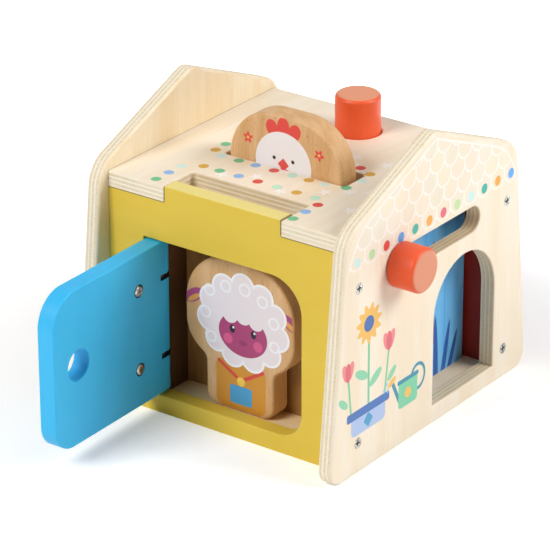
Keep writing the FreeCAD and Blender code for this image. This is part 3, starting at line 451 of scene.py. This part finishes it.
# Roof: plywood with rows of coloured dots round the two slots, and a few faint white stars
confetti = {"radius": 2.95, "gapShadeStrength": 0.6,
            "dots": {"#6FBF8E": [(-49, -70.5), (-28, -41), (43.1, -70.5), (-28, -23.3), (42, -20),
                                 (-48.4, -8.3)],
                     "#8DB9E8": [(-49, -59.2), (-15, -41), (43.1, -59.2), (-16.5, -23.3)],
                     "#D3EBE2": [(-49, -48), (-40, -23.3), (43.6, -7.4), (29.6, -23.3)],
                     "#BFE6CC": [(11, -41), (8.5, -23.3), (36.5, -41)],
                     "#D9A638": [(-39, -41), (24, -41), (19.5, -23.3), (-47.9, -18.4), (41.7, 3.1)],
                     "#DD4A44": [(-2, -41), (-4, -23.3), (43.1, -48), (32.4, 7.3)]}}
stars = {"cell": 21.0, "shiftX": 0.4, "shiftY": 0.2, "scatter": 0.7, "radius": 2.8, "depth": 1.4, "points": 5,
         "ink": "#FFFFFF", "soft": 0.3, "strength": 0.6, "front": -50.0, "back": 40.0, "left": -24.0}


def whiteStars(paint, stencil, colour):
    s = stars
    where = paint.point(paint.x / s["cell"] + s["shiftX"], paint.y / s["cell"] + s["shiftY"])
    spot = paint.add("ShaderNodeTexVoronoi", {"voronoi_dimensions": "2D", "feature": "F1"},
                     {"Vector": where, "Scale": 1.0, "Randomness": s["scatter"]}, "Position")
    spotX, spotY = (paint.add("ShaderNodeSeparateXYZ", {}, [spot], axis) for axis in "XY")
    middleX, middleY = (spotX - s["shiftX"]) * s["cell"], (spotY - s["shiftY"]) * s["cell"]
    across, upward = paint.x - middleX, paint.y - middleY
    wave = (upward.math("ARCTAN2", across) * s["points"]).math("COSINE") * s["depth"]
    star = paint.length(across, upward) - s["radius"] - wave
    band = (middleY < s["back"]) * (middleY > s["front"]) * (middleX > s["left"])
    return paint.mix(stencil.mask(star, s["soft"]) * band * s["strength"], colour, tone(s["ink"]))


def roof():
    paint = Paint("roofPly")
    colour, height, fine = plywood(paint, "roof_board", 1)
    low, high = boxOf("roof_board")
    face = paint.z > high.z - printLayer
    stencil = Stencil(paint, paint.x, paint.y, face)
    colour = whiteStars(paint, stencil, colour)
    for code, places in confetti["dots"].items():
        dots = join(*(stencil.disc(*place, confetti["radius"]) for place in places))
        colour = stencil.lay(colour, dots, tone(code))
    gapShade = abs(paint.x) > (high.x - low.x) / 2 - printLayer    # painted shade: the dark line beside each gable, standing in for the shadow in the joint
    colour = paint.mix(gapShade * face * confetti["gapShadeStrength"], colour, tone(plyLook["gapShade"]))
    dressPly(paint, "roof_board", colour, height, fine, plyLook["printedGrain"])


roof()
print("roof printed")


# Painted boards: an even satin coat that lets a little grain through
coatLook = {"fine": (0.8, 30), "broad": (22, 60), "mottle": (3, 3), "broadStrength": 0.35,
            "fineRange": (0.5, 0.75), "broadRange": (0.35, 0.7), "highlightRange": (-0.6, -0.1),
            "fineHeight": 0.7, "mottleHeight": 0.3, "roughGrain": 0.08, "depth": 0.05, "specular": 0.35}


def painted(name, nodes, colour, shade, grain, roughness=0.36, streak=0.3, coat=0.0, tip=None, shadeMarks=None):
    look = coatLook
    paint = Paint(name)
    fine = paint.grain(grain, look["fine"], 3.0, 0.6)
    broad = paint.grain(grain, look["broad"])
    mottle = paint.grain(2, look["mottle"])
    worn = paint.ramp(fine, *look["fineRange"]) * streak
    worn = worn + paint.ramp(broad, *look["broadRange"]) * look["broadStrength"]
    mixed = paint.mix(worn.clamped(), tone(colour), tone(shade))
    if tip:                                       # painted highlight: the end face along the axis is painted paler, as if lit more strongly
        paintedHighlight, axis = tip
        top = boxOf(nodes[0])[1][axis]
        start, end = (top + reach for reach in look["highlightRange"])
        mixed = paint.mix(paint.ramp(paint.place[axis], start, end), mixed, tone(paintedHighlight))
    if shadeMarks:
        mixed = shadeMarks(paint, mixed)
    rough = roughness + (mottle + fine) * look["roughGrain"]
    gloss = {"Coat Weight": coat, "Coat Roughness": roughness, "Specular IOR Level": look["specular"]}
    height = fine * look["fineHeight"] + mottle * look["mottleHeight"]
    dress(paint.finish(mixed, rough, height, look["depth"], **gloss), *nodes)


panelGapShadeLook = {"width": 0.6, "over": 0.05, "strength": 0.75, "tabLeft": -39.05, "tabRight": 39.55}
doorPocket = {"ink": "#173247", "radius": 3.9, "rise": 0.3, "depth": 3.0, "headRadius": 3.2,
              "eyeRoom": 0.9, "eyeFace": -42.75, "eyeReach": -79.5}


def panelGapShade(paint, colour):                    # painted shade: thin dark lines where the roof board meets the panel, standing in for the shadow in the gap
    p = panelGapShadeLook
    under = boxOf("roof_board")[0].z
    aside = (paint.x < p["tabLeft"]).most(paint.x > p["tabRight"])
    below = (paint.z > under - p["width"]) * (paint.z < under + p["over"]) * aside
    ends = (paint.x < p["tabLeft"] + p["width"]).most(paint.x > p["tabRight"] - p["width"])
    gapShades = below.most(ends * (paint.z > under))
    return paint.mix(gapShades * p["strength"], colour, tone(plyLook["gapShade"]))


def doorPocketShade(paint, colour):                   # the recesses of the door screws and hinge eyes, with painted shade
    p = doorPocket
    low, high = boxOf("door_screws")
    sunk = (paint.x < high.x - p["rise"]) * (paint.x > high.x - p["depth"])
    stencil = Stencil(paint, paint.y, paint.z, sunk)
    levels = low.z + p["headRadius"], high.z - p["headRadius"]
    pockets = join(*(stencil.disc((low.y + high.y) / 2, level, p["radius"]) for level in levels))
    colour = stencil.lay(colour, pockets, tone(p["ink"]))
    for name in ("lower_hinge_eye", "upper_hinge_eye"):
        low, high = boxOf(name)
        notch = abs(paint.z - (low.z + high.z) / 2) < (high.z - low.z) / 2 + p["eyeRoom"]
        notch = notch * (paint.x < p["eyeFace"]) * (paint.y > p["eyeReach"])
        colour = paint.mix(notch, colour, tone(p["ink"]))
    return colour


# Each tip colour is a painted highlight on the end faces along its axis, and the two mark functions paint
# shade into gaps and recesses
paints = {
    "yellowPaint": {"nodes": ["front_panel"], "colour": "#E6C548", "shade": "#DFBC3A", "grain": 0,
                    "roughness": 0.46, "tip": ("#EEDC88", 2), "shadeMarks": panelGapShade},
    "bluePaint": {"nodes": ["door"], "colour": "#3ABEF4", "shade": "#2CB0EE", "grain": 2,
                  "shadeMarks": doorPocketShade},
    "darkRedPaint": {"nodes": ["back_panel"], "colour": "#9C2616", "shade": "#841C10", "grain": 2,
                     "roughness": 0.45},
    "orangePaint": {"nodes": ["push_button"], "colour": "#EE5C2A", "shade": "#E65022", "grain": 2,
                    "streak": 0.45, "coat": 0.3, "tip": ("#E8946C", 2)},
    "orangeKnobPaint": {"nodes": ["slide_knob"], "colour": "#EE5828", "shade": "#E64C20", "grain": 0,
                        "streak": 0.45, "coat": 0.2, "tip": ("#DC8A64", 0)},
    "plainWood": {"nodes": ["left_hen_guide", "right_hen_guide", "left_cheek", "right_cheek", "rocker_lever",
                            "hen_keeper", "slide_key", "button_flange", "floor_dowels", "roof_dowels",
                            "wall_dowels"],
                  "colour": "#D9B783", "shade": "#C79F68", "grain": 2, "roughness": 0.55, "streak": 0.6}}
for name, look in paints.items():
    painted(name, **look)
print("paint done")


# Blue wall behind the arch: printed boards with grass and a flower
wallPrint = {"inks": {"plank": "#2F7FC8", "blade": "#2B5FB0", "stem": "#8A5A33", "petal": "#A62A68",
                      "petalPale": "#B58AD8", "bud": "#9A6238", "berry": "#8E2430"},
             "blue": "#7CC4F4", "blueDeep": "#62B4EE", "patch": (14, 60), "patchRange": (0.35, 0.7),
             "plank": 20.0, "plankShift": 4.0, "plankLine": 0.25, "plankSoft": 0.2, "plankStrength": 0.6,
             "layer": 0.6, "roughGrain": 0.1,
             "picture": [
                 ("stem", [("stroke", 35, 30, 34, 92, 1.5), ("stroke", 20, 12, 18, 44, 1.3)]),
                 ("blade", [("oval", 30, 12, 2.2, 26, 12), ("oval", 38, 12, 2.4, 34, 2),
                            ("oval", 46, 12, 2.2, 27, -12), ("oval", 53, 12, 2.0, 19, -20)]),
                 ("petalPale", [("petals", 34, 67, 6.0, 1.7, 5, 18)]),
                 ("petal", [("disc", 34, 67, 3.2)]),
                 ("petal", [("petals", 18, 47, 4.6, 1.3, 5, 0)]),
                 ("bud", [("oval", 30, 112, 5.0, 8.0, 10)]),
                 ("berry", [("petals", 43, 108, 4.6, 1.5, 5, 20)])]}


def blueWall():
    w = wallPrint
    paint = Paint("blueWallPrint")
    colour, height, fine = plywood(paint, "blue_wall", 2)
    right = boxOf("blue_wall")[1].x
    stencil = Stencil(paint, paint.y, paint.z, paint.x > right - w["layer"])
    patches = paint.noise(paint.point(paint.y / w["patch"][0], paint.z / w["patch"][1]), 1.0)
    blue = paint.mix(paint.ramp(patches, *w["patchRange"]), tone(w["blue"]), tone(w["blueDeep"]))
    gap = abs((paint.y + w["plankShift"]) % w["plank"] - w["plank"] / 2) - w["plankLine"]
    blue = stencil.lay(blue, gap, tone(w["inks"]["plank"]), w["plankSoft"], w["plankStrength"])
    blue = stencil.draw(blue, w["inks"], w["picture"])
    colour = paint.mix(stencil.face, colour, blue)
    dressPly(paint, "blue_wall", colour, height, fine, w["roughGrain"])


blueWall()
print("blue wall printed")


# Beech blocks: warm wood with short dark flecks, printed on one face
beechLook = {"wood": "#D6A56E", "light": "#E2B786", "dark": "#BC8852", "darkStrength": 0.55,
             "fleck": "#8E5E34", "fleckStrength": 0.55, "roughness": 0.46, "roughGrain": 0.12, "depth": 0.04,
             "broadSize": (9, 80), "broadLean": 0.73, "fineSize": (0.6, 14), "fleckSize": (0.55, 3.2),
             "broadRange": (0.35, 0.68), "fineRange": (0.45, 0.75), "fleckRange": (0.68, 0.76), "layer": 0.3}


def beech(paint, grain):
    look = beechLook
    side, other = (paint.place[i] for i in range(3) if i != grain)
    width, length = look["broadSize"]
    leaning = side + other * look["broadLean"]
    where = paint.point(leaning / width, other / width, paint.place[grain] / length)
    broad = paint.noise(where, 1.0, 3.0, 0.55)
    fine = paint.grain(grain, look["fineSize"], 3.0, 0.6)
    fleck = paint.grain(grain, look["fleckSize"], 1.0)
    colour = paint.mix(paint.ramp(broad, *look["broadRange"]), tone(look["light"]), tone(look["wood"]))
    darker = paint.ramp(fine, *look["fineRange"]) * look["darkStrength"]
    colour = paint.mix(darker, colour, tone(look["dark"]))
    flecks = paint.ramp(fleck, *look["fleckRange"]) * look["fleckStrength"]
    colour = paint.mix(flecks, colour, tone(look["fleck"]))
    return colour, fine, look["roughness"] + fine * look["roughGrain"]


def dressBlock(paint, name, colour, height, rough):
    dress(paint.finish(colour, rough, height, beechLook["depth"]), name)


# Sheep: places are measured from the middle of the block's top
sheep = {"inks": {"fleece": "#EEE0E1", "curl": "#FAF6F7", "face": "#AC4270", "faceDeep": "#963660",
                  "ear": "#A84276", "earInner": "#E0A04A", "eye": "#1E1620", "cheek": "#D85A86",
                  "coat": "#D3902F", "bib": "#4C9FD0", "bell": "#F2C94E", "strap": "#D8483A"},
         "under": [
             ("ear", [("oval", -31, -28, 7.4, 3.7, 34), ("oval", 34.5, -28, 7.4, 3.7, -34)]),
             ("earInner", [("oval", -31, -29.6, 5.0, 1.5, 34), ("oval", 34.5, -29.6, 5.0, 1.5, -34)]),
             ("coat", [("slab", 1, -75.5, 17, 14.5, 5.0)]),
             ("strap", [("stroke", -14, -63, 1, -72, 2.2), ("stroke", 16, -63, 1, -72, 2.2)]),
             ("bib", [("slab", 1, -81, 7.6, 5.6, 1.5)]),
             ("bell", [("disc", 1, -72.5, 2.8)])],
         "over": [
             ("face", [("oval", 2.6, -43.5, 16.5, 13.2)]),
             ("fleece", [("disc", -6, -33, 5.2), ("disc", 3, -31.6, 5.6), ("disc", 11.6, -33.6, 5.0)]),
             ("cheek", [("disc", -7.6, -48, 3.1), ("disc", 12.8, -48, 3.1)], 0.5),
             ("eye", [("oval", -4.6, -41.4, 1.8, 2.5), ("oval", 9.8, -41.4, 1.8, 2.5)]),
             ("curl", [("disc", -3.9, -40.4, 0.7), ("disc", 10.5, -40.4, 0.7)]),
             ("faceDeep", [("oval", 2.6, -48.5, 2.8, 1.6)])]}
fleece = {"middle": (2.6, -36), "half": (27, 24.5), "tufts": 11, "tuftHalf": (23.6, 21.4), "tuftRadius": 8.2,
          "rim": 1.3, "rimSoft": 0.6, "curlLine": 0.55, "curlSoft": 0.25, "curlStrength": 0.9,
          "curls": [(-20, -22, 3.2), (-9, -17, 3.2), (4, -16, 3.4), (16, -20, 3.2), (23.5, -31, 3.2),
                    (-23, -36, 3.2), (24, -45, 3.0), (-19, -50, 3.0)]}


def printFleece(stencil, colour):                 # an oval cloud with tufts all round, and loose curls
    f = fleece
    u, v = f["middle"]
    cloud = stencil.oval(u, v, *f["half"])
    for count in range(f["tufts"]):
        angle = math.radians(count * 360 / f["tufts"] + 90)
        aside, above = math.cos(angle) * f["tuftHalf"][0], math.sin(angle) * f["tuftHalf"][1]
        cloud = cloud.least(stencil.disc(aside + u, above + v, f["tuftRadius"]))
    curlInk, fleeceInk = tone(sheep["inks"]["curl"]), tone(sheep["inks"]["fleece"])
    colour = stencil.lay(colour, cloud, curlInk)
    colour = stencil.lay(colour, cloud + f["rim"], fleeceInk, f["rimSoft"])
    curls = join(*(abs(stencil.disc(*curl)) - f["curlLine"] for curl in f["curls"]))
    return stencil.lay(colour, curls, curlInk, f["curlSoft"], f["curlStrength"])


def sheepBlock():
    paint = Paint("sheepPrint")
    colour, height, rough = beech(paint, 2)
    low, high = boxOf("sheep_block")
    front = paint.y < low.y + beechLook["layer"]
    stencil = Stencil(paint, paint.x - (low.x + high.x) / 2, paint.z - high.z, front)
    colour = stencil.draw(colour, sheep["inks"], sheep["under"])
    colour = printFleece(stencil, colour)
    colour = stencil.draw(colour, sheep["inks"], sheep["over"])
    dressBlock(paint, "sheep_block", colour, height, rough)


# Hen: heights are measured from the block's top
hen = {"inks": {"white": "#F3EEF0", "comb": "#E2473F", "eye": "#2A1A22", "beak": "#E0524A",
                "wing": "#D9CFD4", "flower": "#E2473F", "flowerHeart": "#F2C068"},
       "picture": [
           ("comb", [("oval", -8.6, -8.0, 4.0, 5.0, 22), ("oval", -1.0, -5.9, 4.1, 5.6),
                     ("oval", 6.6, -7.8, 4.0, 5.0, -22)]),
           ("white", [("disc", -1, -28, 18.8), ("oval", -1, -48, 23, 20)]),
           ("wing", [("ring", -13, -47, 6, 8.5, 0.5, 12), ("ring", 12, -47, 6, 8.5, 0.5, -12)]),
           ("eye", [("disc", -7.2, -25.2, 1.1), ("disc", 5.4, -25.2, 1.1)]),
           ("beak", [("slab", -1, -28.2, 2.7, 2.7, 0.6, 45)]),
           ("comb", [("oval", -2.2, -33.6, 1.6, 3.0), ("oval", 1.0, -33.6, 1.6, 3.0)]),
           ("flower", [("petals", -25, -17.5, 2.6, 0.8, 5, 18), ("petals", 23, -17.0, 2.6, 0.8, 5, -10)]),
           ("flowerHeart", [("disc", -25, -17.5, 0.9), ("disc", 23, -17.0, 0.9)])]}


def henBlock():
    paint = Paint("henPrint")
    colour, height, rough = beech(paint, 2)
    low, high = boxOf("hen_block")
    stencil = Stencil(paint, paint.x, paint.z - high.z, paint.y < low.y + beechLook["layer"])
    colour = stencil.draw(colour, hen["inks"], hen["picture"])
    dressBlock(paint, "hen_block", colour, height, rough)


# Pig on the sliding board: places are measured from the middle of the board and from the ground
pig = {"inks": {"body": "#F0A3A8", "snout": "#E27F8C", "eye": "#3A2028", "ear": "#E27F8C",
                "patch": "#F7C7C4"},
       "picture": [
           ("body", [("oval", 0, 32, 17, 19)]),
           ("patch", [("oval", 0, 28, 9, 11)]),
           ("ear", [("slab", -10, 74, 3.6, 3.6, 1.0, 45), ("slab", 10, 74, 3.6, 3.6, 1.0, 45)]),
           ("body", [("disc", 0, 62, 15)]),
           ("snout", [("oval", 0, 58, 6, 4.4)]),
           ("eye", [("oval", -2, 58, 0.8, 1.4), ("oval", 2, 58, 0.8, 1.4), ("disc", -6, 66, 1.2),
                    ("disc", 6, 66, 1.2)])]}


def slideBoard():
    paint = Paint("pigPrint")
    colour, height, rough = beech(paint, 2)
    low, high = boxOf("slide_board")
    outer = paint.x > high.x - beechLook["layer"]
    stencil = Stencil(paint, paint.y - (low.y + high.y) / 2, paint.z, outer)
    colour = stencil.draw(colour, pig["inks"], pig["picture"])
    dressBlock(paint, "slide_board", colour, height, rough)


sheepBlock()
henBlock()
slideBoard()
print("blocks printed")


# Zinc plated steel, with painted shade in the crosses sunk in the heads that show; the hinge wire is darker
steelLook = {"light": "#D2D0CB", "dark": "#8E8B85", "wireLight": "#4A4644", "wireDark": "#2C2927",
             "recessShade": "#1C1A19", "sunk": 0.35, "reach": 1.3, "cloud": 0.6, "cloudRange": (0.3, 0.7),
             "roughness": 0.26, "roughCloud": 0.2, "depth": 0.01}
headEnds = {"left_gable_screws": 0, "right_gable_screws": 1, "door_screws": 1}      # lowest or highest X


def steel(name, light, dark, nodes, head=None):
    look = steelLook
    paint = Paint(name)
    cloud = paint.noise(paint.point(*paint.place), look["cloud"], 3.0, 0.6)
    colour = paint.mix(paint.ramp(cloud, *look["cloudRange"]), tone(light), tone(dark))
    metal = 1.0
    if head is not None:                          # the cross lies below the face of the head and is painted dark as shade
        depth = abs(head) - paint.x * math.copysign(1, head)
        recessShade = (depth > look["sunk"]) * (depth < look["reach"])
        colour = paint.mix(recessShade, colour, tone(look["recessShade"]))
        metal = 1.0 - recessShade
    rough = look["roughness"] + cloud * look["roughCloud"]
    dress(paint.finish(colour, rough, cloud, look["depth"], Metallic=metal), *nodes)


def dressSteel():
    light, dark = steelLook["light"], steelLook["dark"]
    steelNodes = [part["node"] for part in frame["record"]["subparts"] if part["material_slot"] == "steel"]
    wires = [name for name in steelNodes if "hinge" in name]
    steel("darkWire", steelLook["wireLight"], steelLook["wireDark"], wires)
    steel("zincSteel", light, dark, [name for name in steelNodes if name not in wires + list(headEnds)])
    for name, end in headEnds.items():
        steel(name + "Steel", light, dark, [name], boxOf(name)[end].x)


dressSteel()
print("steel done")


# Studio: a white floor, a big soft lamp from the right, a softer one from the left, and white all round
studio = {"lamps": {"side": {"place": (1.3, 0.52, 0.98), "power": 18.2, "width": 0.8},
                    "front": {"place": (-0.42, -1.45, 1.3), "power": 24.6, "width": 0.8},
                    "top": {"place": (0.1, 0.35, 1.7), "power": 4.6, "width": 1.4}},
          "aim": (0, 0, 0.07), "world": 0.08, "floorRadius": 6, "floor": "#F8F8F8", "floorCloud": "#FCFCFC",
          "cloudScale": 0.004, "roughness": 0.9, "nearGlow": 0.27, "farGlow": 1.0, "near": 130.0,
          "far": 420.0}


def softLamp(name, place, power, width):
    turn = (Vector(place) - Vector(studio["aim"])).to_track_quat("Z", "Y")
    bpy.ops.object.light_add(type="AREA", location=place, rotation=turn.to_euler())
    lamp = bpy.context.object
    lamp.name = name
    lamp.data.energy, lamp.data.size = power, width


def makeWorld():                                  # dim as a light, white where it is seen
    world = bpy.data.worlds.new("studioWorld")
    bpy.context.scene.world = world
    world.use_nodes = True
    world.node_tree.nodes.clear()
    sky = Nodes(world.node_tree)
    strength = sky.add("ShaderNodeMapRange", {}, {"Value": sky.seenDirectly(), "To Min": studio["world"],
                                                  "To Max": 1.0})
    background = sky.add("ShaderNodeBackground", {}, {"Strength": strength})
    sky.add("ShaderNodeOutputWorld", {}, {"Surface": background})


def makeFloor():                                  # a little shaded near the object, white further out
    bpy.ops.mesh.primitive_circle_add(vertices=64, radius=studio["floorRadius"], fill_type="NGON",
                                      location=(0, 0, 0))
    floor = bpy.context.object
    floor.name = "studioFloor"
    paint = Paint("studioWhite")
    away = paint.length(paint.x, paint.y)
    share = paint.ramp(away, studio["near"], studio["far"], studio["nearGlow"], studio["farGlow"])
    glow = paint.mix(paint.seenDirectly() * share, (0, 0, 0, 1), (1, 1, 1, 1))
    cloud = paint.noise(paint.point(paint.x, paint.y), studio["cloudScale"])
    colour = paint.mix(cloud, tone(studio["floor"]), tone(studio["floorCloud"]))
    light = {"Emission Color": glow, "Emission Strength": 1.0}
    floor.data.materials.append(paint.finish(colour, studio["roughness"], **light))


bpy.ops.object.select_all(action="DESELECT")
for name, lamp in studio["lamps"].items():
    softLamp(name + "Lamp", **lamp)
makeWorld()
makeFloor()
print("studio done")
